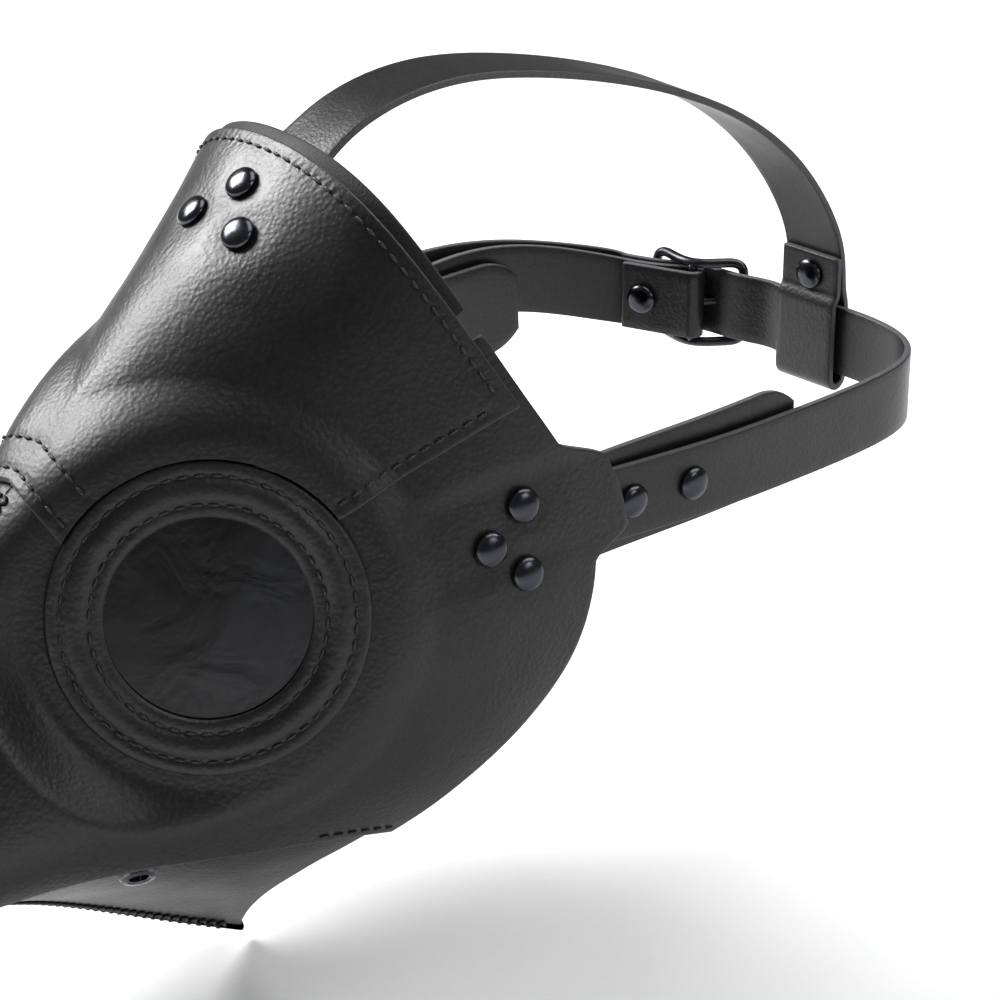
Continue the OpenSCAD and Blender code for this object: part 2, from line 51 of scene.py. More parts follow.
# The left half of the outer skin in millimetres: each row is one guide line,
# from the top middle line round the cheek to the bottom middle line.
NET = np.array([
    [[0, -24, 83], [0, -46, 63], [0, -76, 38], [0, -107, 10],
     [0, -152, -22], [0, -203, -56], [0, -236, -100]],
    [[14, -24, 83], [13, -46, 63], [11, -76, 37], [9, -107, 8],
     [7, -152, -26], [6, -202, -59], [3, -236, -101]],
    [[43, -25, 79], [37, -41, 54], [26, -72, 27], [16, -104, -3],
     [14, -148, -35], [12, -198, -66], [3, -235, -103]],
    [[61, 4, 22], [55, -20, 20], [41, -60, 4], [27, -96, -17],
     [22, -143, -47], [16, -193, -74], [3, -234, -105]],
    [[65, 24, -6], [65, -14, -8], [52, -56, -16], [36, -92, -34],
     [27, -138, -60], [18, -190, -82], [3, -234, -107]],
    [[66, 18, -52], [69, -12, -44], [60, -55, -46], [43, -91, -56],
     [30, -137, -72], [18, -189, -90], [3, -234, -109]],
    [[51, -33, -90], [56, -42, -84], [48, -74, -82], [36, -104, -80],
     [24, -142, -82], [14, -191, -96], [3, -234, -111]],
    [[24, -56, -108], [26, -62, -106], [24, -86, -100], [20, -112, -92],
     [14, -146, -90], [9, -194, -100], [2.6, -234, -112]],
    [[0, -46, -137], [0, -62, -129], [0, -88, -115], [0, -116, -100],
     [0, -150, -94], [0, -196, -101], [0, -234, -113]],
], float)
U_END, V_END = 6, 4
FLAT_R, FADE_R = 42, 57  # the skin is flat round each eye, and this far out it is free again
PORT_R, RING_R = 25, 39  # an eye ring's hole and its outside
EYE = np.array([36.5, -75.5, -17.5])
TURN, LIFT = math.radians(58.5), math.radians(11.5)
EYE_N = np.array([math.cos(LIFT) * math.sin(TURN), -math.cos(LIFT) * math.cos(TURN), math.sin(LIFT)])
GAP = 0.3  # air between two layers of leather
BOW = 3  # how far the crown strap's root bends to the forehead
STITCH_IN = 2.8  # a row of stitches from the edge
FOREHEAD_SPOTS = [(0, 0.2), (0.25, 0.35), (-0.25, 0.35)]
TEMPLE_SPOTS = [(2.7, 0.245), (2.95, 0.37), (3.22, 0.245)]
STRAP_SPOTS = {"left": [(60.7, 35, -9), (61.85, 54, -9)], "right": [(-60.7, 35, -6.6), (-61.85, 54, -2.1)]}


# ---- numbers and curves ----------------------------------------------------
def ramp(t):
    """0 to 1, easing at both ends."""
    t = np.clip(t, 0, 1)
    return t * t * (3 - 2 * t)


def unit(a):
    a = np.asarray(a, float)
    return a / np.maximum(np.linalg.norm(a, axis=-1, keepdims=True), 1e-9)


def weights(t, count):
    """Clamped cubic B-spline weight of each control point at each t."""
    last = count - 3
    t = np.clip(np.asarray(t, float), 0, last - 1e-6)
    knots = np.concatenate(([0.0] * 3, np.arange(last + 1.0), [last] * 3))
    w = [((knots[i] <= t) & (t < knots[i + 1])).astype(float) for i in range(len(knots) - 1)]
    for d in (1, 2, 3):
        rise = [max(knots[i + d] - knots[i], 1e-9) for i in range(len(w)) if i + d < len(knots)]
        w = [w[i] * (t - knots[i]) / rise[i] + w[i + 1] * (knots[i + d + 1] - t) / rise[i + 1]
             for i in range(len(w) - 1)]
    return np.stack(w, -1)


def spline(points, count):
    """count points along the clamped B-spline of these control points."""
    points = np.array(points, float)
    return weights(np.linspace(0, len(points) - 3, count), len(points)) @ points


def raw_skin(u, v):
    """Points of the outer skin: u goes round from the top middle line, v from the rear edge to the tip."""
    u, v = np.broadcast_arrays(np.asarray(u, float), np.asarray(v, float))
    a = np.abs(u)
    p = np.einsum("...i,...j,ijk->...k", weights(a, 9), weights(v, 7), NET)
    p[..., 1] += 10.6 * ramp((a - 2.45) / 0.2 + 0.5) * ramp((3.2 - a) / 0.2 + 0.5) * np.clip(1 - v / 0.9, 0, 1) ** 2
    d = (p - EYE) @ EYE_N
    r = np.linalg.norm(p - EYE - d[..., None] * EYE_N, axis=-1)
    w = np.where(np.abs(d) > 25, 0, 1 - ramp((r - FLAT_R) / (FADE_R - FLAT_R)))
    p -= EYE_N * (d * w)[..., None]
    p[..., 0] *= np.where(u < 0, -1, 1)
    return p


def skin(u, v):
    """Points and outward normals of the outer skin."""
    u, v = np.broadcast_arrays(np.asarray(u, float), np.asarray(v, float))
    e = 0.015
    across = raw_skin(np.minimum(u + e, U_END), v) - raw_skin(u - e, v)
    along = raw_skin(u, np.minimum(v + e, V_END)) - raw_skin(u, np.maximum(v - e, 0))
    return raw_skin(u, v), unit(np.cross(along, across))


def from_eye(p):
    """Distance of each point from the nearer eye's axis."""
    q = p * np.array([1, 1, 1.0])
    q[..., 0] = np.abs(q[..., 0])
    q = q - EYE
    return np.linalg.norm(q - (q @ EYE_N)[..., None] * EYE_N, axis=-1)


def hand_shaped(p, n, amount=0.45):
    """Moves the skin in and out a little, as leather formed by hand, but not at the eye ports."""
    flat = p.reshape(-1, 3)
    broad = np.array([noise.noise(Vector(q) / 34) + 0.35 * noise.noise(Vector(q) / 13) for q in flat])
    keep = ramp((from_eye(flat) - 41) / 14) * ramp((abs(flat[:, 0]) + 2) / 10)
    return (flat + n.reshape(-1, 3) * (broad * keep * amount)[:, None]).reshape(p.shape)


def pressed(p, n, spots, depth, spread):
    """Presses the leather in round these points."""
    spots = np.asarray(spots, float).reshape(-1, 3)
    flat = p.reshape(-1, 3)
    near = np.full(len(flat), 1e9)
    for s in spots:
        near = np.minimum(near, np.sum((flat - s) ** 2, axis=1))
    return (flat - n.reshape(-1, 3) * (depth * np.exp(-near / spread ** 2))[:, None]).reshape(p.shape)


def inset(p, n, edge, distance):
    """Points and normals this far in from an edge of the grid p: edge is 'start' or 'end' of its columns."""
    if edge == "end":
        p, n = p[:, ::-1], n[:, ::-1]
    step = np.linalg.norm(np.diff(p, axis=1), axis=-1)
    run = np.concatenate([np.zeros((len(p), 1)), np.cumsum(step, axis=1)], axis=1)
    out_p, out_n = [], []
    for i in range(len(p)):
        k = min(int(np.searchsorted(run[i], distance)), p.shape[1] - 1)
        f = (distance - run[i, k - 1]) / max(run[i, k] - run[i, k - 1], 1e-9)
        out_p.append(p[i, k - 1] * (1 - f) + p[i, k] * f)
        out_n.append(n[i, k])
    return np.array(out_p), np.array(out_n)


# ---- meshes ----------------------------------------------------------------
def make_object(name, points, faces, material, cut=None):
    """A smooth object of points in millimetres. cut marks the points on a raw edge."""
    mesh = bpy.data.meshes.new(name)
    mesh.from_pydata((np.asarray(points) * MM).tolist(), [], faces)
    bm = bmesh.new()
    bm.from_mesh(mesh)
    bmesh.ops.recalc_face_normals(bm, faces=bm.faces)
    bm.to_mesh(mesh)
    bm.free()
    mesh.shade_smooth()
    if cut is not None:
        mesh.attributes.new("cut", "FLOAT", "POINT").data.foreach_set("value", np.asarray(cut, float))
    mesh.materials.append(material)
    obj = bpy.data.objects.new(name, mesh)
    bpy.context.scene.collection.objects.link(obj)
    return obj


def leather(name, p, n, thick, material, rim=0.5, side=1, middle=None):
    """A sheet of leather with rounded cut edges. p is a grid on its outer face."""
    m, k = p.shape[:2]
    index = np.arange(m * k).reshape(m, k)
    loop = np.concatenate([index[0, :-1], index[:-1, -1], index[-1, :0:-1], index[:0:-1, 0]])
    out = np.zeros_like(p)
    out[0] += unit(p[0] - p[1])
    out[-1] += unit(p[-1] - p[-2])
    out[:, 0] += unit(p[:, 0] - p[:, 1])
    out[:, -1] += unit(p[:, -1] - p[:, -2])
    flat_p, flat_n = p.reshape(-1, 3), n.reshape(-1, 3)
    e_p, e_n, e_o = flat_p[loop], flat_n[loop], out.reshape(-1, 3)[loop]
    e_o = unit(e_o - np.sum(e_o * e_n, axis=1, keepdims=True) * e_n)
    rows = []
    for down, a in ((0, 35), (0, 65), (0, 90), (1, 90), (1, 65), (1, 35)):
        s, c = rim * math.sin(math.radians(a)), rim * (1 - math.cos(math.radians(a)))
        rows.append(e_p + e_o * s - e_n * (thick - c if down else c))
    points = np.concatenate([flat_p, flat_p - flat_n * thick] + rows)
    cut = np.zeros(len(points))
    cut[2 * m * k + len(loop):2 * m * k + 5 * len(loop)] = 1
    faces = []
    for i in range(m - 1):
        for j in range(k - 1):
            a, b, c, d = index[i, j], index[i, j + 1], index[i + 1, j + 1], index[i + 1, j]
            faces += [(a, b, c, d), (a + m * k, d + m * k, c + m * k, b + m * k)]
    rings = [loop] + [2 * m * k + r * len(loop) + np.arange(len(loop)) for r in range(6)] + [loop + m * k]
    for r0, r1 in zip(rings, rings[1:]):
        for i in range(len(loop)):
            j = (i + 1) % len(loop)
            faces.append((r0[i], r1[i], r1[j], r0[j]))
    if middle is not None:
        points[:, 0] = np.maximum(points[:, 0], middle)
    points[:, 0] *= side
    return make_object(name, points, [tuple(int(q) for q in f) for f in faces], material, cut)


def band(name, line, across, widths, thick, material, bows=None, columns=9, rim=0.45):
    """A strap on a centre line, with its edges bowed off the flat."""
    line, across = np.asarray(line, float), unit(across)
    tangent = np.gradient(line, axis=0)
    n = unit(np.cross(tangent, across))
    across = unit(np.cross(n, tangent))
    e = np.linspace(-1, 1, columns)
    bows = np.zeros(len(line)) if bows is None else bows
    half = np.asarray(widths)[:, None] / 2 - rim
    p = line[:, None] + across[:, None] * (half * e)[..., None]
    p = p + n[:, None] * (thick / 2 - bows[:, None] * e ** 2)[..., None]
    return leather(name, p, np.repeat(n[:, None], columns, axis=1), thick, material, rim)


def stitches(name, rows, material, pitch, long, thick):
    """Thread showing between its holes along rows of (points, normals)."""
    ring = [(math.sin(a) * math.cos(b), math.sin(a) * math.sin(b), math.cos(a))
            for a in np.linspace(0.35, math.pi - 0.35, 5) for b in np.linspace(0, 2 * math.pi, 8, endpoint=False)]
    ball = np.array([(z, x, y) for x, y, z in ring])
    shape = [(8 * i + j, 8 * i + (j + 1) % 8, 8 * i + 8 + (j + 1) % 8, 8 * i + 8 + j)
             for i in range(4) for j in range(8)]
    shape += [tuple(range(7, -1, -1)), tuple(range(32, 40))]
    points, faces = [], []
    for p, n in rows:
        run = np.concatenate([[0], np.cumsum(np.linalg.norm(np.diff(p, axis=0), axis=1))])
        count = int((run[-1] - long) // pitch)
        for s in (run[-1] - count * pitch) / 2 + pitch * np.arange(count + 1):
            at = np.array([np.interp(s, run, p[:, k]) for k in range(3)])
            to = np.array([np.interp(s + 0.8, run, p[:, k]) - np.interp(s - 0.8, run, p[:, k]) for k in range(3)])
            out = unit([np.interp(s, run, n[:, k]) for k in range(3)])
            to = unit(to)
            side = np.cross(out, to)
            base = 40 * len(points)
            points.append(at + out * 0.12 + np.outer(ball[:, 0] * long / 2, to)
                          + np.outer(ball[:, 1] * thick / 2, side) + np.outer(ball[:, 2] * thick / 2, out))
            faces += [tuple(q + base for q in f) for f in shape]
    return make_object(name, np.concatenate(points), faces, material)


def turned(profile, centre, axis, segments=48):
    """Points and faces of a profile of (radius, height) turned about an axis."""
    axis = unit(axis)
    x = unit(np.cross(axis, [0.31, 0.2, 0.93]))
    y = np.cross(axis, x)
    a = np.linspace(0, 2 * math.pi, segments, endpoint=False)
    round_x_y = np.outer(np.cos(a), x) + np.outer(np.sin(a), y)
    points = [np.asarray(centre) + axis * h + round_x_y * r for r, h in profile]
    count = len(profile)
    faces = [(i * segments + j, i * segments + (j + 1) % segments,
              (i + 1) * segments + (j + 1) % segments, (i + 1) * segments + j)
             for i in range(count - 1) for j in range(segments)]
    return np.concatenate(points), faces


def turned_object(name, profile, places, material, closed=False, segments=48):
    """One object of the same turned shape at each (centre, axis)."""
    points, faces = [], []
    for centre, axis in places:
        p, f = turned(profile, centre, axis, segments)
        base = sum(len(q) for q in points)
        if closed:
            f = f + [((len(profile) - 1) * segments + j, (len(profile) - 1) * segments + (j + 1) % segments,
                      (j + 1) % segments, j) for j in range(segments)]
        else:
            f = f + [tuple(range(segments - 1, -1, -1)),
                     tuple(range((len(profile) - 1) * segments, len(profile) * segments))]
        points.append(p)
        faces += [tuple(q + base for q in g) for g in f]
    return make_object(name, np.concatenate(points), faces, material)


def tube(path, radius, closed=False, segments=16):
    """Points and faces of a round wire along a path."""
    path = np.asarray(path, float)
    to = unit(np.roll(path, -1, axis=0) - np.roll(path, 1, axis=0)) if closed else unit(np.gradient(path, axis=0))
    x = unit(np.cross(to[0], [0.12, 0.93, 0.2]))
    rows = []
    for p, t in zip(path, to):
        x = unit(x - t * (x @ t))
        y = np.cross(t, x)
        a = np.linspace(0, 2 * math.pi, segments, endpoint=False)
        rows.append(p + (np.outer(np.cos(a), x) + np.outer(np.sin(a), y)) * radius)
    faces = []
    last = len(path) if closed else len(path) - 1
    for i in range(last):
        for j in range(segments):
            a, b = i * segments, ((i + 1) % len(path)) * segments
            faces.append((a + j, a + (j + 1) % segments, b + (j + 1) % segments, b + j))
    if not closed:
        faces += [tuple(range(segments - 1, -1, -1)), tuple(range(last * segments, (last + 1) * segments))]
    return np.concatenate(rows), faces


def cut_away(obj, cutter):
    """Takes the cutter's shape out of obj and removes the cutter."""
    change = obj.modifiers.new("cut", "BOOLEAN")
    change.operation, change.solver, change.object = "DIFFERENCE", "MANIFOLD", cutter
    bpy.context.view_layer.update()
    done = bpy.data.meshes.new_from_object(obj.evaluated_get(bpy.context.evaluated_depsgraph_get()))
    obj.modifiers.clear()
    if len(done.polygons) < 12:
        raise RuntimeError(f"cutting {obj.name} left nothing")
    obj.data = done
    done.shade_smooth()
    done.set_sharp_from_angle(angle=math.radians(50))
    bpy.data.objects.remove(cutter)


def placed(obj, slot, *nodes, body="mask"):
    """The object stands for these nodes and moves with their body."""
    if nodes:
        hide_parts(*nodes)
    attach(obj, body)


def dress(material, *nodes):
    """Gives CAD nodes a material."""
    for name in nodes:
        mesh = NODES[name].data
        mesh.materials.clear()
        mesh.materials.append(material)


# ---- materials -------------------------------------------------------------
def linear(code):
    """An sRGB hex colour as linear red, green, blue and alpha."""
    parts = [int(code[i:i + 2], 16) / 255 for i in (1, 3, 5)]
    return tuple(c / 12.92 if c <= 0.04045 else ((c + 0.055) / 1.055) ** 2.4 for c in parts) + (1.0,)


def node(tree, kind, settings=None, **links):
    """Adds a node, sets its properties, then links or sets its inputs by name."""
    made = tree.nodes.new(kind)
    for key, value in (settings or {}).items():
        setattr(made, key, value)
    for key, value in links.items():
        by_place = key[0] == "i" and key[1:].isdigit()
        socket = made.inputs[int(key[1:])] if by_place else made.inputs[key.replace("_", " ")]
        if isinstance(value, bpy.types.NodeSocket):
            tree.links.new(value, socket)
        else:
            socket.default_value = value
    return made


def new_material(name):
    """An empty material, its tree, object coordinates in millimetres and its output node."""
    old = bpy.data.materials.get(name)
    if old:
        return old, None, None, None
    material = bpy.data.materials.new(name)
    material.use_nodes = True
    tree = material.node_tree
    tree.nodes.clear()
    place = node(tree, "ShaderNodeTexCoord").outputs["Object"]
    mm = node(tree, "ShaderNodeVectorMath", {"operation": "SCALE"}, i0=place, Scale=1000.0).outputs[0]
    return material, tree, mm, node(tree, "ShaderNodeOutputMaterial")


def spread(tree, value, low, high, to_low, to_high):
    """The value, stretched from one range to another."""
    return node(tree, "ShaderNodeMapRange", i0=value, i1=low, i2=high, i3=to_low, i4=to_high).outputs[0]


def blended(tree, amount, a, b):
    """The colour that is this much of b and the rest of a."""
    return node(tree, "ShaderNodeMix", {"data_type": "RGBA"}, i0=amount, i6=a, i7=b).outputs[2]


def hide_material(name, tint, worn, raw, grain_mm, depth_mm, rough, raw_rough):
    """Finished leather: pebbled by its grain, with paler fibres on the cut edges."""
    material, tree, mm, out = new_material(name)
    if tree is None:
        return material
    warp = node(tree, "ShaderNodeTexNoise", Vector=mm, Scale=0.5, Detail=2.0)
    shifted = node(tree, "ShaderNodeVectorMath", {"operation": "MULTIPLY_ADD"},
                   i0=warp.outputs["Color"], i1=(0.9, 0.9, 0.9), i2=mm).outputs[0]
    pebble = node(tree, "ShaderNodeTexVoronoi", {"feature": "SMOOTH_F1"},
                  Vector=shifted, Scale=1 / grain_mm, Smoothness=0.7).outputs["Distance"]
    pore = node(tree, "ShaderNodeTexNoise", Vector=mm, Scale=2.4, Detail=5.0, Roughness=0.62).outputs["Fac"]
    crease = node(tree, "ShaderNodeTexNoise", {"noise_type": "RIDGED_MULTIFRACTAL"},
                  Vector=shifted, Scale=0.085, Detail=3.0).outputs["Fac"]
    broad = node(tree, "ShaderNodeTexNoise", Vector=mm, Scale=0.035, Detail=3.0).outputs["Fac"]
    cut = node(tree, "ShaderNodeAttribute", {"attribute_name": "cut"}).outputs["Fac"]
    raw_part = spread(tree, cut, 0.35, 0.9, 0.0, 1.0)
    point = node(tree, "ShaderNodeNewGeometry").outputs["Pointiness"]
    wear = node(tree, "ShaderNodeMath", {"operation": "MULTIPLY"},
                i0=spread(tree, point, 0.505, 0.56, 0.0, 0.65),
                i1=spread(tree, pore, 0.35, 0.65, 0.2, 1.0)).outputs[0]
    base = blended(tree, spread(tree, broad, 0.3, 0.7, 0.0, 1.0), tint, [c * 1.45 for c in tint[:3]] + [1])
    base = blended(tree, spread(tree, pebble, 0.1, 0.7, 0.25, 0.0), base, worn)
    base = blended(tree, wear, base, worn)
    fibre = node(tree, "ShaderNodeTexNoise", Vector=mm, Scale=1.7, Detail=6.0, Roughness=0.7).outputs["Fac"]
    edge = blended(tree, spread(tree, fibre, 0.35, 0.7, 0.0, 1.0), raw, [c * 0.45 for c in raw[:3]] + [1])
    base = blended(tree, raw_part, base, edge)
    gloss = spread(tree, broad, 0.3, 0.75, rough - 0.06, rough + 0.1)
    gloss = node(tree, "ShaderNodeMath", {"operation": "ADD"}, i0=gloss,
                 i1=spread(tree, pore, 0.3, 0.7, -0.05, 0.07)).outputs[0]
    gloss = node(tree, "ShaderNodeMix", {"data_type": "FLOAT"}, i0=raw_part, i2=gloss, i3=raw_rough).outputs[0]
    bump = node(tree, "ShaderNodeBump", Strength=0.75, Distance=depth_mm * MM, Height=pebble)
    bump = node(tree, "ShaderNodeBump", Strength=0.5, Distance=0.06 * MM, Height=pore, Normal=bump.outputs[0])
    bump = node(tree, "ShaderNodeBump", Strength=0.35, Distance=0.35 * MM, Height=crease, Normal=bump.outputs[0])
    nap = node(tree, "ShaderNodeMath", {"operation": "MULTIPLY"}, i0=fibre, i1=raw_part).outputs[0]
    bump = node(tree, "ShaderNodeBump", Strength=0.6, Distance=0.25 * MM, Height=nap, Normal=bump.outputs[0])
    shader = node(tree, "ShaderNodeBsdfPrincipled", Base_Color=base, Roughness=gloss, IOR=1.5,
                  Normal=bump.outputs[0])
    shader.inputs["Specular IOR Level"].default_value = 0.4
    shader.inputs["Coat Weight"].default_value = 0.05
    shader.inputs["Coat Roughness"].default_value = 0.38
    tree.links.new(shader.outputs[0], out.inputs[0])
    return material


def panel_leather():
    # Vegetable tanned cowhide, dyed, waxed and boarded: a fine pebbled grain with a soft broad shine.
    s = bpy.context.scene.mask
    return hide_material("waxed_pebbled_cowhide", tuple(s.panel_colour), linear("#2c2c2e"), tuple(s.raw_colour),
                         s.grain / MM, 0.16, 0.4, 0.85)


def strap_leather():
    # Drum dyed strap leather, plated smooth: tighter grain and a slightly brighter shine.
    s = bpy.context.scene.mask
    return hide_material("plated_strap_leather", tuple(s.strap_colour), linear("#2e2e30"), tuple(s.raw_colour),
                         s.grain * 0.8 / MM, 0.08, 0.36, 0.8)


def lining_leather():
    # Split cowhide, flesh side out, dyed through: matt and fibrous.
    s = bpy.context.scene.mask
    return hide_material("dyed_split_cowhide", linear("#111112"), linear("#232324"), tuple(s.raw_colour),
                         0.7, 0.12, 0.72, 0.9)


def waxed_thread():
    # Twisted polyester thread drawn through wax: tiny slanting plies with a dull gleam; its colour is painted
    # darker in the grooves between the plies and lighter on their crests, as painted shade and highlight.
    material, tree, mm, out = new_material("waxed_twisted_polyester")
    if tree is None:
        return material
    ply_and_groove_shade = node(tree, "ShaderNodeTexWave", {"bands_direction": "DIAGONAL"}, Vector=mm, Scale=0.55, Distortion=1.5,
               Detail=2.0).outputs["Fac"]
    fuzz = node(tree, "ShaderNodeTexNoise", Vector=mm, Scale=4.0, Detail=4.0).outputs["Fac"]
    # painted shade and highlight: the same ply pattern that raises the plies colours their grooves darker and their
    # crests lighter
    base = blended(tree, ply_and_groove_shade, linear("#08080a"), linear("#242428"))
    bump = node(tree, "ShaderNodeBump", Strength=0.7, Distance=0.12 * MM, Height=ply_and_groove_shade)
    bump = node(tree, "ShaderNodeBump", Strength=0.3, Distance=0.05 * MM, Height=fuzz, Normal=bump.outputs[0])
    shader = node(tree, "ShaderNodeBsdfPrincipled", Base_Color=base, IOR=1.54, Normal=bump.outputs[0],
                  Roughness=spread(tree, fuzz, 0.3, 0.7, 0.42, 0.65))
    tree.links.new(shader.outputs[0], out.inputs[0])
    return material


def smoked_acrylic():
    # Cast acrylic sheet tinted grey, polished: a dark see-through disc with sharp soft-box reflections.
    material, tree, mm, out = new_material("cast_smoked_acrylic")
    if tree is None:
        return material
    smear = node(tree, "ShaderNodeTexNoise", Vector=mm, Scale=0.06, Detail=4.0, Distortion=0.8).outputs["Fac"]
    base = blended(tree, smear, linear("#101114"), linear("#1b1c20"))
    bump = node(tree, "ShaderNodeBump", Strength=0.3, Distance=0.6 * MM, Height=smear)
    shader = node(tree, "ShaderNodeBsdfPrincipled", Base_Color=base, IOR=1.49, Normal=bump.outputs[0],
                  Roughness=spread(tree, smear, 0.35, 0.7, 0.03, 0.14))
    shader.inputs["Transmission Weight"].default_value = 0.55
    tree.links.new(shader.outputs[0], out.inputs[0])
    return material


def plated_metal(name, dark, bright, rough):
    """Plated metal, clouded a little and rubbed brighter on its edges."""
    material, tree, mm, out = new_material(name)
    if tree is None:
        return material
    cloud = node(tree, "ShaderNodeTexNoise", Vector=mm, Scale=0.35, Detail=4.0).outputs["Fac"]
    rub = node(tree, "ShaderNodeTexNoise", Vector=mm, Scale=3.0, Detail=6.0, Roughness=0.7).outputs["Fac"]
    point = node(tree, "ShaderNodeNewGeometry").outputs["Pointiness"]
    worn = node(tree, "ShaderNodeMath", {"operation": "MULTIPLY"}, i0=spread(tree, point, 0.51, 0.6, 0.0, 0.7),
                i1=spread(tree, rub, 0.4, 0.6, 0.1, 1.0)).outputs[0]
    base = blended(tree, worn, blended(tree, cloud, dark, [c * 1.3 for c in dark[:3]] + [1]), bright)
    bump = node(tree, "ShaderNodeBump", Strength=0.2, Distance=0.03 * MM, Height=rub)
    shader = node(tree, "ShaderNodeBsdfPrincipled", Base_Color=base, Metallic=1.0, Normal=bump.outputs[0],
                  Roughness=spread(tree, cloud, 0.3, 0.7, rough - 0.05, rough + 0.08))
    tree.links.new(shader.outputs[0], out.inputs[0])
    return material


def rivet_metal():
    # Brass caps plated black nickel and barrel polished: dark, with small bright highlights.
    return plated_metal("black_nickel_plate", tuple(bpy.context.scene.mask.rivet_colour), linear("#9a9aa0"), 0.2)


def buckle_metal():
    # Bent steel wire, zinc plated and blackened: a satin dark metal, rubbed brighter on its bends.
    return plated_metal("blackened_steel_wire", tuple(bpy.context.scene.mask.buckle_colour), linear("#8a8a8e"), 0.3)


def studio_card():
    # Matt painted board: it only catches soft shadows.
    material, tree, mm, out = new_material("matt_painted_board")
    if tree is None:
        return material
    tooth = node(tree, "ShaderNodeTexNoise", Vector=mm, Scale=0.6, Detail=5.0).outputs["Fac"]
    base = blended(tree, tooth, linear("#f1f1f1"), linear("#f5f5f5"))
    bump = node(tree, "ShaderNodeBump", Strength=0.05, Distance=0.1 * MM, Height=tooth)
    shader = node(tree, "ShaderNodeBsdfPrincipled", Base_Color=base, Roughness=0.9, Normal=bump.outputs[0])
    tree.links.new(shader.outputs[0], out.inputs[0])
    return material


# ---- shapes shared by several pieces ----------------------------------------
def eye_side(side):
    """Centre and axis of one eye port."""
    flip = np.array([side, 1, 1])
    return EYE * flip, EYE_N * flip


def eye_cutter(side, radius, reach=40):
    """A plug along an eye's axis, to cut a round hole."""
    centre, axis = eye_side(side)
    material = bpy.data.materials.get("waxed_pebbled_cowhide")
    profile = [(radius, -reach / 2), (radius, reach / 2)]
    return turned_object("cutter", profile, [(centre, axis)], material, segments=96)


def on_skin(spots, out):
    """(point, normal) this far out of the skin at each (u, v)."""
    places = []
    for u, v in spots:
        p, n = skin(u, v)
        places.append((p + n * out, n))
    return places


def stitch_row(name, rows):
    """Stitches of the mask's pitch and thread along these rows."""
    s = bpy.context.scene.mask
    pitch = s.stitch_pitch / MM
    placed(stitches(name, rows, waxed_thread(), pitch, pitch * 0.72, s.thread / MM), "waxed_thread")


def up_rows(count):
    """Straight up, once for each point of a strap."""
    return np.tile([0.0, 0.0, 1.0], (count, 1))


C, S = math.cos(math.radians(26)), math.sin(math.radians(26))
BUCKLE = np.array([-31, 135.5, -8.5])
ALONG, OUT = np.array([C, S, 0]), np.array([-S, C, 0])


def at_buckle(s, o, z=0.0):
    """A place by the buckle: along the strap, outwards and up from its centre bar."""
    return BUCKLE + ALONG * s + OUT * o + np.array([0, 0, z])


LC, LS = math.cos(math.radians(6.7)), math.sin(math.radians(6.7))
LOOP_O = 2.8


def at_loop(o, z):
    """A place by the crown strap's loop: backwards and up from the middle of the back strap."""
    return np.array([6, 148.45, -9]) + np.array([-LS, LC, 0]) * o + np.array([0, 0, z])


FAR_INNER = [[-59.8, 20, -9], [-60.3, 30, -8], [-61.6, 46, -4], [-62.4, 66, 1], [-62, 86, 1.5], [-60, 106, -3]]
BACK_ROUTE = [[59.8, 20, -9], [60.3, 30, -9], [61.6, 46, -9], [62.4, 66, -9], [61, 92, -9], [59, 118, -9],
              [54, 142, -9], [36, 152, -9], [14, 150, -9], [2, 147, -9],
              at_buckle(26, 1.2), at_buckle(20, 2), at_buckle(13, 2.3), at_buckle(6, 4.4), at_buckle(0, 5.7),
              at_buckle(-6, 4.6), at_buckle(-12, 3.2), at_buckle(-18, 3.3), at_buckle(-23, 3),
              at_buckle(-28, 2.6, 1), [-63.8, 104, -2], [-66.8, 84, 2], [-67.6, 66, 3], [-67, 48, 2]]
TEMPLE_ROUTE = [[57, -14, -9.5], [58, -7, -9.5], [58.8, 2, -9.5], [58.2, 12, -9.5], [57.3, 22, -9.5],
                [58, 40, -8.5], [59.2, 62, -7.4], [59, 78, -6.6], [58, 92, -6]]


# ---- settings --------------------------------------------------------------
def length(name, text, value, low, high):
    """A setting that is a length in metres."""
    return FloatProperty(name=name, description=text, default=value, min=low, max=high, precision=4,
                         unit="LENGTH", subtype="DISTANCE")


def colour(name, text, code):
    """A setting that is a colour."""
    return FloatVectorProperty(name=name, description=text, default=linear(code), size=4, min=0, max=1,
                               subtype="COLOR")


class MaskSettings(bpy.types.PropertyGroup):
    """Sizes and colours of the mask."""
    leather_t: length("Panel thickness", "Thickness of the panel leather", 0.002, 0.0016, 0.0024)
    strap_t: length("Strap thickness", "Thickness of the strap leather", 0.002, 0.0016, 0.0022)
    strap_w: length("Strap width", "Width of the crown, back and buckle straps", 0.02, 0.018, 0.021)
    stitch_pitch: length("Stitch pitch", "Distance from one stitch to the next", 0.004, 0.003, 0.006)
    thread: length("Thread", "Thickness of the sewing thread", 0.0009, 0.0006, 0.0014)
    grain: length("Leather grain", "Width of one pebble of the grain", 0.00125, 0.0008, 0.003)
    cap_d: length("Rivet cap", "Diameter of a rivet cap", 0.0088, 0.008, 0.0095)
    shaping: FloatProperty(name="Shaping", description="How uneven the hand-formed leather is, in millimetres",
                           default=0.45, min=0, max=1)
    fineness: IntProperty(name="Fineness", description="How finely the leather's meshes are divided", default=12,
                          min=4, max=24)
    panel_colour: colour("Panel leather", "Colour of the panels", "#0d0d0e")
    strap_colour: colour("Strap leather", "Colour of the straps", "#0e0e0f")
    raw_colour: colour("Cut edge", "Colour of the raw cut edges", "#5a595d")
    rivet_colour: colour("Rivets", "Colour of the rivet caps", "#3c3d42")
    buckle_colour: colour("Buckle", "Colour of the buckle", "#2a2a2e")


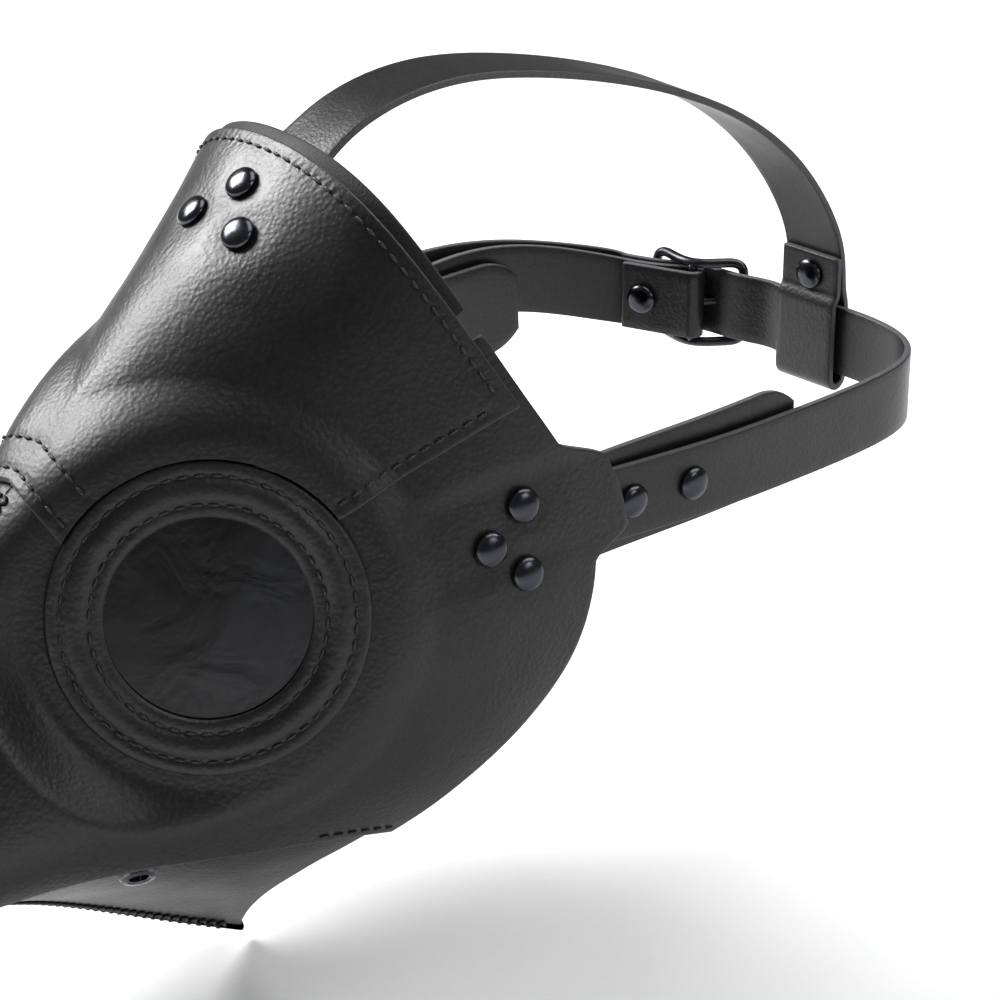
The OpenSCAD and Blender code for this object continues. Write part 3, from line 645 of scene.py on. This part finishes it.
class StageSettings(bpy.types.PropertyGroup):
    """Floor, light and camera."""
    floor_z: length("Floor height", "Height of the floor", -0.1372, -0.2, -0.13)
    key: FloatProperty(name="Key light", description="Power of the main soft box in watts", default=26, min=0)
    top: FloatProperty(name="Top light", description="Power of the wide overhead soft box in watts", default=34,
                       min=0)
    fill: FloatProperty(name="Fill light", description="Power of the side soft box in watts", default=3, min=0)
    sky: FloatProperty(name="Surround", description="Strength of the pale surround", default=0.18, min=0)


# ---- pieces ----------------------------------------------------------------
class MASK_OT_side_panels(bpy.types.Operator):
    """Adds the two cheek and beak panels"""
    bl_idname = "mask.side_panels"
    bl_label = "Cheek and beak panels"

    def execute(self, context):
        s = context.scene.mask
        v = np.linspace(0, V_END, 24 * s.fineness)[:, None]
        b = np.linspace(0, 1, 12 * s.fineness)[None]
        top = 1.65 * (1 - ramp((v - 1.4) / 0.22))
        bottom = 5 + ramp((v - 3.3) / 0.45)
        p, n = skin(top * (1 - b) + bottom * b, v)
        p = hand_shaped(p, n, s.shaping)
        p = pressed(p, n, [q for q, _ in on_skin(TEMPLE_SPOTS, 0)], 0.55, 6.5)
        low_p, low_n = inset(p, n, "end", STITCH_IN)
        sewn = slice(6, int(0.16 * len(low_p)))
        p = pressed(p, n, low_p[sewn][::3], 0.2, 1.2)
        for side, name in ((1, "left"), (-1, "right")):
            made = leather(f"side_panel_{name}.leather", p, n, s.leather_t / MM, panel_leather(), side=side,
                           middle=0.15)
            cut_away(made, eye_cutter(side, 30.3))
            placed(made, "panel_leather", f"side_panel_{name}")
            flip = np.array([side, 1, 1])
            stitch_row(f"side_panel_{name}.stitches", [(low_p[sewn] * flip, low_n[sewn] * flip)])
        return {"FINISHED"}


class MASK_OT_under_panels(bpy.types.Operator):
    """Adds the two panels under the beak"""
    bl_idname = "mask.under_panels"
    bl_label = "Panels under the beak"

    def execute(self, context):
        s = context.scene.mask
        v = np.linspace(0.03, 3.6, 15 * s.fineness)[:, None]
        u = np.linspace(4.65, U_END, 5 * s.fineness)[None]
        p, n = skin(u, v)
        p = hand_shaped(p, n, s.shaping) - n * (s.leather_t / MM + GAP + 0.15)
        vent = on_skin([(5.25, 1.6)], 0)[0][0]
        p = pressed(p, n, vent - skin(5.25, 1.6)[1] * 2.4, 0.35, 6)
        for side, name in ((1, "left"), (-1, "right")):
            made = leather(f"under_panel_{name}.leather", p, n, s.leather_t / MM, panel_leather(), side=side,
                           middle=0.15)
            centre, axis = skin(5.25, 1.6)
            flip = np.array([side, 1, 1])
            cut_away(made, turned_object("cutter", [(3.65, -10), (3.65, 10)], [(centre * flip, axis * flip)],
                                         panel_leather(), segments=32))
            placed(made, "panel_leather", f"under_panel_{name}")
        return {"FINISHED"}


class MASK_OT_forehead(bpy.types.Operator):
    """Adds the forehead piece with its tongue and stitching"""
    bl_idname = "mask.forehead"
    bl_label = "Forehead piece"

    def execute(self, context):
        s = context.scene.mask
        v = np.linspace(0.04, 1.88, 13 * s.fineness)[:, None]
        a = np.linspace(-1, 1, 23 * s.fineness)[None]
        reach = 2.02 + 0.43 * (v - 0.04) / 1.84
        p, n = skin(reach * a, v)
        p = hand_shaped(p, n, s.shaping) + n * (s.leather_t / MM + GAP)
        p = pressed(p, n, [q for q, _ in on_skin(FOREHEAD_SPOTS, s.leather_t / MM + GAP)], 0.7, 7)
        turn_p, turn_n = p.swapaxes(0, 1), n.swapaxes(0, 1)
        whole = [inset(turn_p, turn_n, "start", STITCH_IN), inset(turn_p, turn_n, "end", STITCH_IN),
                 inset(turn_p, turn_n, "end", 11.4), inset(p, n, "start", STITCH_IN), inset(p, n, "end", STITCH_IN)]
        rows = []
        for q, m in whole:
            keep = from_eye(q) > RING_R + 1.5
            keep[:8] = keep[-8:] = False
            ends = np.flatnonzero(np.diff(keep.astype(int)))
            parts = np.split(np.arange(len(q)), ends + 1)
            rows += [(q[i], m[i]) for i in parts if keep[i[0]] and len(i) > 12]
        p = pressed(p, n, np.concatenate([q[::4] for q, _ in rows]), 0.28, 1.3)
        made = leather("forehead_panel.leather", p, n, s.leather_t / MM, panel_leather())
        for side in (1, -1):
            cut_away(made, eye_cutter(side, RING_R + 0.4))
        placed(made, "panel_leather", "forehead_panel")
        stitch_row("forehead_panel.stitches", rows)
        return {"FINISHED"}


class MASK_OT_lining(bpy.types.Operator):
    """Adds the lining under the forehead piece"""
    bl_idname = "mask.lining"
    bl_label = "Forehead lining"

    def execute(self, context):
        s = context.scene.mask
        v = np.linspace(0, 1.15, 7 * s.fineness)[:, None]
        p, n = skin(np.linspace(-1.5, 1.5, 14 * s.fineness)[None], v)
        p = hand_shaped(p, n, s.shaping)
        placed(leather("forehead_lining.leather", p, n, s.leather_t / MM, lining_leather()),
               "lining_leather", "forehead_lining")
        return {"FINISHED"}


class MASK_OT_eye_rings(bpy.types.Operator):
    """Adds the padded eye rings and their two rows of stitching"""
    bl_idname = "mask.eye_rings"
    bl_label = "Eye rings"

    def execute(self, context):
        profile = [(25.35, 0.05), (25.1, 0.25), (25, 0.6), (25.05, 1.1), (25.3, 1.5), (25.8, 1.75), (26.6, 1.9),
                   (27.5, 1.9), (28.1, 1.72), (28.5, 1.72), (29.1, 2.15), (29.8, 2.6), (30.7, 2.9), (31.8, 3.0),
                   (32.9, 2.9), (33.8, 2.6), (34.5, 2.15), (35.1, 1.72), (35.5, 1.72), (36.1, 1.95), (37, 2.0),
                   (38, 1.9), (38.6, 1.65), (38.9, 1.2), (39, 0.7), (38.85, 0.25), (38.6, 0.05)]
        angle = np.linspace(0, 2 * math.pi, 721)
        for side, name in ((1, "left"), (-1, "right")):
            centre, axis = eye_side(side)
            around = 360
            made = turned_object(f"eye_ring_{name}.leather", profile, [(centre, axis)], panel_leather(),
                                 closed=True, segments=around)
            for vertex in made.data.vertices:
                q = np.array(vertex.co) / MM
                swell = noise.noise(Vector(q) / 7) * 0.22 + noise.noise(Vector(q) / 2.6) * 0.06
                h = (q - centre) @ axis
                vertex.co = Vector((q + axis * swell * ramp((h - 0.8) / 1.2)) * MM)
            mesh = made.data
            cut = np.repeat((np.arange(len(profile)) <= 3) * 0.7, around)
            mesh.attributes.new("cut", "FLOAT", "POINT").data.foreach_set("value", cut)
            placed(made, "panel_leather", f"eye_ring_{name}")
            x = unit(np.cross(axis, [0, 0, 1]))
            y = np.cross(axis, x)
            rows = []
            for r in (28.3, 35.3):
                p = centre + axis * 1.72 + (np.outer(np.cos(angle), x) + np.outer(np.sin(angle), y)) * r
                rows.append((p, np.tile(axis, (len(p), 1))))
            stitch_row(f"eye_ring_{name}.stitches", rows)
        return {"FINISHED"}


class MASK_OT_lenses(bpy.types.Operator):
    """Gives the lens discs and the rings behind them their finish"""
    bl_idname = "mask.lenses"
    bl_label = "Lenses and backing rings"

    def execute(self, context):
        dress(smoked_acrylic(), "lens_left", "lens_right")
        dress(lining_leather(), "lens_backing_left", "lens_backing_right")
        return {"FINISHED"}


class MASK_OT_crown_strap(bpy.types.Operator):
    """Adds the crown strap with its loop round the back strap"""
    bl_idname = "mask.crown_strap"
    bl_label = "Crown strap"

    def execute(self, context):
        s = context.scene.mask
        thick = s.strap_t / MM
        below = -s.leather_t / MM - GAP - thick / 2
        root = [q for q, _ in on_skin([(0, v) for v in (0.52, 0.42, 0.32, 0.22, 0.14)], below)]
        route = root + [[0, -17, 81], [0, -2, 88.4], [0, 20, 91.5], [0, 46, 87.6], [1, 76, 80], [2, 108, 67.5],
                        [3, 134, 47.5], [5, 148, 24], at_loop(1, 21), at_loop(1.1, 14), at_loop(LOOP_O + 0.3, 10),
                        at_loop(LOOP_O, 0), at_loop(LOOP_O, -7)]
        over = spline(route, 270)
        bend = [at_loop(LOOP_O * math.cos(a), -11 - LOOP_O * 1.15 * math.sin(a))
                for a in np.linspace(0, math.pi, 25)]
        flap = [at_loop(-LOOP_O + ramp((z - 10) / 4) * (LOOP_O - 1.15), z) for z in np.arange(-8, 24.5, 1.0)]
        line = np.concatenate([over, bend, flap])
        turn = ramp((line[:, 1] - 90) / 50) * math.radians(6.7)
        across = np.stack([np.cos(turn), np.sin(turn), 0 * turn], -1)
        i = np.arange(len(line)) / 3
        widths = s.strap_w / MM + (28 - s.strap_w / MM) * ramp((26 - i) / 14)
        made = band("crown_strap.leather", line, across, widths, thick, strap_leather(),
                    bows=-BOW * (1 - ramp((i - 12) / 16)), columns=13)
        placed(made, "strap_leather", "crown_strap")
        return {"FINISHED"}


class MASK_OT_back_strap(bpy.types.Operator):
    """Adds the back strap and its tail"""
    bl_idname = "mask.back_strap"
    bl_label = "Back strap"

    def execute(self, context):
        s = context.scene.mask
        line = spline(BACK_ROUTE, 420)
        made = band("back_strap.leather", line, up_rows(len(line)), np.full(len(line), s.strap_w / MM),
                    s.strap_t / MM, strap_leather())
        placed(made, "strap_leather", "back_strap")
        return {"FINISHED"}


class MASK_OT_buckle_strap(bpy.types.Operator):
    """Adds the strap that is folded round the buckle's centre bar"""
    bl_idname = "mask.buckle_strap"
    bl_label = "Buckle strap"

    def execute(self, context):
        s = context.scene.mask
        anchor = spline(FAR_INNER + [at_buckle(-24, -0.6), at_buckle(-16, -0.3), at_buckle(-11, -0.3),
                                     at_buckle(-6, 1.2)], 200)
        fold = [at_buckle(2.6 * math.cos(a), 2.6 * math.sin(a)) for a in np.radians(np.linspace(105, -100, 30))]
        flap = spline([at_buckle(-6, -2.7), at_buckle(-11, -2.7), at_buckle(-16, -2.7), at_buckle(-20, -2.8)], 20)
        line = np.concatenate([anchor, fold, flap])
        made = band("buckle_strap.leather", line, up_rows(len(line)), np.full(len(line), s.strap_w / MM),
                    s.strap_t / MM, strap_leather())
        placed(made, "strap_leather", "buckle_strap")
        return {"FINISHED"}


class MASK_OT_temple_straps(bpy.types.Operator):
    """Adds the two wide temple straps"""
    bl_idname = "mask.temple_straps"
    bl_label = "Temple straps"

    def execute(self, context):
        s = context.scene.mask
        for side, name in ((1, "left"), (-1, "right")):
            line = spline(TEMPLE_ROUTE, 160)
            lean = 1 - ramp(line[:, 1] / 18)
            tilt = np.radians(10 * lean)
            end = np.minimum(line[:, 1] + 14, 92 - line[:, 1])
            widths = 28 * np.sqrt(np.clip(1 - (1 - np.clip(end / 12, 0, 1)) ** 2 * 0.62, 0, 1))
            line = line * np.array([side, 1, 1])
            across = np.stack([-np.sin(tilt) * side, 0 * tilt, np.cos(tilt)], -1) * side
            made = band(f"temple_strap_{name}.leather", line, across, widths, s.strap_t / MM, strap_leather(),
                        bows=0.5 * lean)
            placed(made, "strap_leather", f"temple_strap_{name}")
        return {"FINISHED"}


class MASK_OT_rivets(bpy.types.Operator):
    """Adds the domed rivet caps"""
    bl_idname = "mask.rivets"
    bl_label = "Rivets"

    def execute(self, context):
        s = context.scene.mask
        r, out = s.cap_d / MM / 2, s.leather_t / MM + GAP
        dome = [(r - 0.35, 0.05), (r - 0.1, 0.12), (r, 0.3), (r - 0.05, 0.55)]
        dome += [(r * 0.97 * math.cos(a), 0.62 + 1.58 * math.sin(a)) for a in np.radians(np.arange(8, 90, 6))]
        groups = {"forehead_rivets": on_skin(FOREHEAD_SPOTS, out)}
        for side, name in ((1, "left"), (-1, "right")):
            flip = np.array([side, 1, 1])
            groups[f"temple_rivets_{name}"] = [(p * flip, n * flip) for p, n in on_skin(TEMPLE_SPOTS, 0)]
            groups[f"strap_rivets_{name}"] = [(np.array(p) + [side * 1.3, 0, 0], np.array([side, 0, 0]))
                                              for p in STRAP_SPOTS[name]]
        groups["buckle_rivet_back"] = [(at_buckle(-14, -4.0), -OUT)]
        groups["crown_loop_rivet"] = [(at_loop(-2.2, 18), np.array([LS, -LC, 0]))]
        depth = {"forehead_rivets": 7.9, "crown_loop_rivet": 5.0, "strap_rivets_left": 5.9,
                 "strap_rivets_right": 5.9, "buckle_rivet_back": 0.4}
        for name, places in groups.items():
            shape = [(1.5, -depth.get(name, 6.3)), (1.5, 0.04)] + dome
            placed(turned_object(f"{name}.caps", shape, places, rivet_metal()), "rivet_metal", name)
        return {"FINISHED"}


class MASK_OT_small_metal(bpy.types.Operator):
    """Gives the rivet backs, eyelets and washers their finish"""
    bl_idname = "mask.small_metal"
    bl_label = "Rivet backs, eyelets and washers"

    def execute(self, context):
        names = [n for n in NODES if n.endswith(("rivet_backs", "backs_left", "backs_right", "loop_rivet_back"))]
        names += [n for n in NODES if "vent_" in n or n == "buckle_rivet"]
        dress(rivet_metal(), *names)
        return {"FINISHED"}


def laced(name, seam, feet):
    """Thread that goes from the seam to its feet and back, on both sides of the middle."""
    points, faces = [], []
    for side in (1, -1):
        path = np.where((np.arange(len(seam)) % 2 == 0)[:, None], seam, feet) * np.array([side, 1, 1])
        for _ in range(2):
            path = np.stack([path[:-1] * 0.8 + path[1:] * 0.2, path[:-1] * 0.2 + path[1:] * 0.8], 1).reshape(-1, 3)
        p, f = tube(path, 0.5, segments=8)
        faces += [tuple(i + sum(map(len, points)) for i in g) for g in f]
        points.append(p)
    made = make_object(f"{name}.thread", np.concatenate(points), faces, waxed_thread())
    placed(made, "waxed_thread", name)


class MASK_OT_lacing(bpy.types.Operator):
    """Adds the laced seams on the ridge and the chin"""
    bl_idname = "mask.lacing"
    bl_label = "Lacing"

    def execute(self, context):
        s = context.scene.mask
        v = np.linspace(0.12, 2.9, 81)[:, None]
        p, n = skin(np.linspace(4.65, U_END, 90)[None], v)
        p = hand_shaped(p, n, s.shaping) - n * (s.leather_t / MM + GAP - 0.25)
        laced("chin_lacing", p[:, -1], inset(p, n, "end", 4.6)[0])
        v = np.linspace(1.95, 3.85, 69)[:, None]
        p, n = skin(np.linspace(0, 1.5, 90)[None], v)
        p = hand_shaped(p, n, s.shaping) + n * 0.3
        laced("ridge_lacing", p[:, 0], inset(p, n, "start", 2.2)[0])
        return {"FINISHED"}


class MASK_OT_buckle(bpy.types.Operator):
    """Adds the bent wire buckle and finishes its prong"""
    bl_idname = "mask.buckle"
    bl_label = "Buckle"

    def execute(self, context):
        half, high, rise = 13.6, 12.1, 6.1
        side = [(-half, rise, high - 2.6), (-half + 0.9, rise - 0.2, high - 0.8), (-half + 3, rise - 0.9, high),
                (-7, 2.9, high), (-3.4, 0.7, high), (0, 0, high), (3.4, 0.7, high), (7, 2.9, high),
                (half - 3, rise - 0.9, high), (half - 0.9, rise - 0.2, high - 0.8), (half, rise, high - 2.6)]
        loop = side + [(half, rise, z) for z in (6, 3, 0, -3, -6)] + [(s, o, -z) for s, o, z in side[::-1]] + [
            (-half, rise, z) for z in (-6, -3, 0, 3, 6)]
        path = np.array([at_buckle(*q) for q in loop])
        for _ in range(2):
            nxt = np.roll(path, -1, axis=0)
            path = np.stack([path * 0.75 + nxt * 0.25, path * 0.25 + nxt * 0.75], 1).reshape(-1, 3)
        p0, f0 = tube(path, 1.4, closed=True)
        p1, f1 = tube([at_buckle(0, 0.1, z) for z in np.linspace(-high, high, 12)], 1.3)
        faces = f0 + [tuple(i + len(p0) for i in f) for f in f1]
        made = make_object("buckle_frame.wire", np.concatenate([p0, p1]), faces, buckle_metal())
        placed(made, "buckle_metal", "buckle_frame", body="buckle")
        dress(buckle_metal(), "buckle_prong")
        return {"FINISHED"}


class MASK_OT_stage(bpy.types.Operator):
    """Adds the floor, the soft boxes, the surround and the camera"""
    bl_idname = "mask.stage"
    bl_label = "Stage"

    def execute(self, context):
        s = context.scene.mask_stage
        mesh = bpy.data.meshes.new("floor")
        places = [(x, y, s.floor_z) for x, y in ((-4, -4), (4, -4), (4, 4), (-4, 4))]
        mesh.from_pydata(places, [], [(0, 1, 2, 3)])
        mesh.materials.append(studio_card())
        floor = bpy.data.objects.new("floor", mesh)
        context.scene.collection.objects.link(floor)
        world = bpy.data.worlds.new("surround")
        context.scene.world = world
        world.use_nodes = True
        world.node_tree.nodes["Background"].inputs["Color"].default_value = linear("#f4f5f7")
        world.node_tree.nodes["Background"].inputs["Strength"].default_value = s.sky
        aim = Vector((0, 0.0, -0.02))
        boxes = (("key", (-0.80, -0.42, 0.72), 0.55, s.key), ("top", (0.2, 0.9, 1.7), 1.8, s.top),
                 ("fill", (1.3, 0.5, 0.7), 0.5, s.fill))
        for name, place, size, power in boxes:
            data = bpy.data.lights.new(name, "AREA")
            data.size, data.energy = size, power
            lamp = bpy.data.objects.new(name, data)
            lamp.location = place
            lamp.rotation_euler = (aim - Vector(place)).to_track_quat("-Z", "Y").to_euler()
            context.scene.collection.objects.link(lamp)
        data = bpy.data.cameras.new("camera")
        data.sensor_width, data.lens, data.clip_end = 36, 113.8, 20
        camera = bpy.data.objects.new("camera", data)
        camera.location = (0.60705, -0.43325, 0.32601)
        ahead = Vector((0, 0.04103, -0.03322)) - camera.location
        camera.rotation_euler = ahead.to_track_quat("-Z", "Y").to_euler()
        context.scene.collection.objects.link(camera)
        context.scene.camera = camera
        context.scene.view_settings.view_transform = "Standard"
        return {"FINISHED"}


PIECES = (MASK_OT_side_panels, MASK_OT_under_panels, MASK_OT_forehead, MASK_OT_lining, MASK_OT_eye_rings,
          MASK_OT_lenses, MASK_OT_crown_strap, MASK_OT_back_strap, MASK_OT_buckle_strap, MASK_OT_temple_straps,
          MASK_OT_rivets, MASK_OT_small_metal, MASK_OT_lacing, MASK_OT_buckle, MASK_OT_stage)


class MASK_PT_panel(bpy.types.Panel):
    """Lists the mask's settings and pieces"""
    bl_idname = "MASK_PT_panel"
    bl_label = "Plague doctor mask"
    bl_space_type = "VIEW_3D"
    bl_region_type = "UI"
    bl_category = "Mask"

    def draw(self, context):
        for group in (context.scene.mask, context.scene.mask_stage):
            for key in type(group).__annotations__:
                self.layout.prop(group, key)
        for piece in PIECES:
            self.layout.operator(piece.bl_idname)


CLASSES = (MaskSettings, StageSettings) + PIECES + (MASK_PT_panel,)


def register():
    for cls in CLASSES:
        bpy.utils.register_class(cls)
    bpy.types.Scene.mask = PointerProperty(type=MaskSettings)
    bpy.types.Scene.mask_stage = PointerProperty(type=StageSettings)


def unregister():
    del bpy.types.Scene.mask_stage
    del bpy.types.Scene.mask
    for cls in reversed(CLASSES):
        bpy.utils.unregister_class(cls)


def main():
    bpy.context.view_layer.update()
    register()
    for piece in PIECES:
        group, name = piece.bl_idname.split(".")
        getattr(getattr(bpy.ops, group), name)()


if __name__ == "__main__":
    main()
